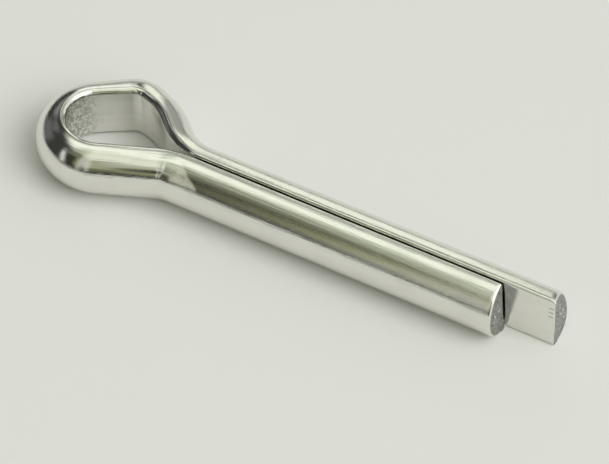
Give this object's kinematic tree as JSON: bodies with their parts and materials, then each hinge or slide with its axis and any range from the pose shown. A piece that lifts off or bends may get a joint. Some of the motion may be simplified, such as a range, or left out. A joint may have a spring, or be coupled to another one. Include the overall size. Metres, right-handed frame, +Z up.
{
  "type": "cotter pin",
  "caption": "Split pin of half-round steel wire, folded flat to flat with a slanted eye at the fold and one prong longer than the other, both sheared off.",
  "frame": {"origin": "on the shank axis, where both prongs first run straight below the eye, so the round shank starts there", "axes": "+X along the shank towards the tips, +Y from the short prong to the long one, +Z up with the pin lying on its side"},
  "size_m": [0.0383, 0.0098, 0.0044],
  "materials": {
    "plated_wire": "bright zinc plate, drawn lines along the wire"
  },
  "bodies": {
    "root": {"cotter_pin": "plated_wire"}
  },
  "joints": []
}
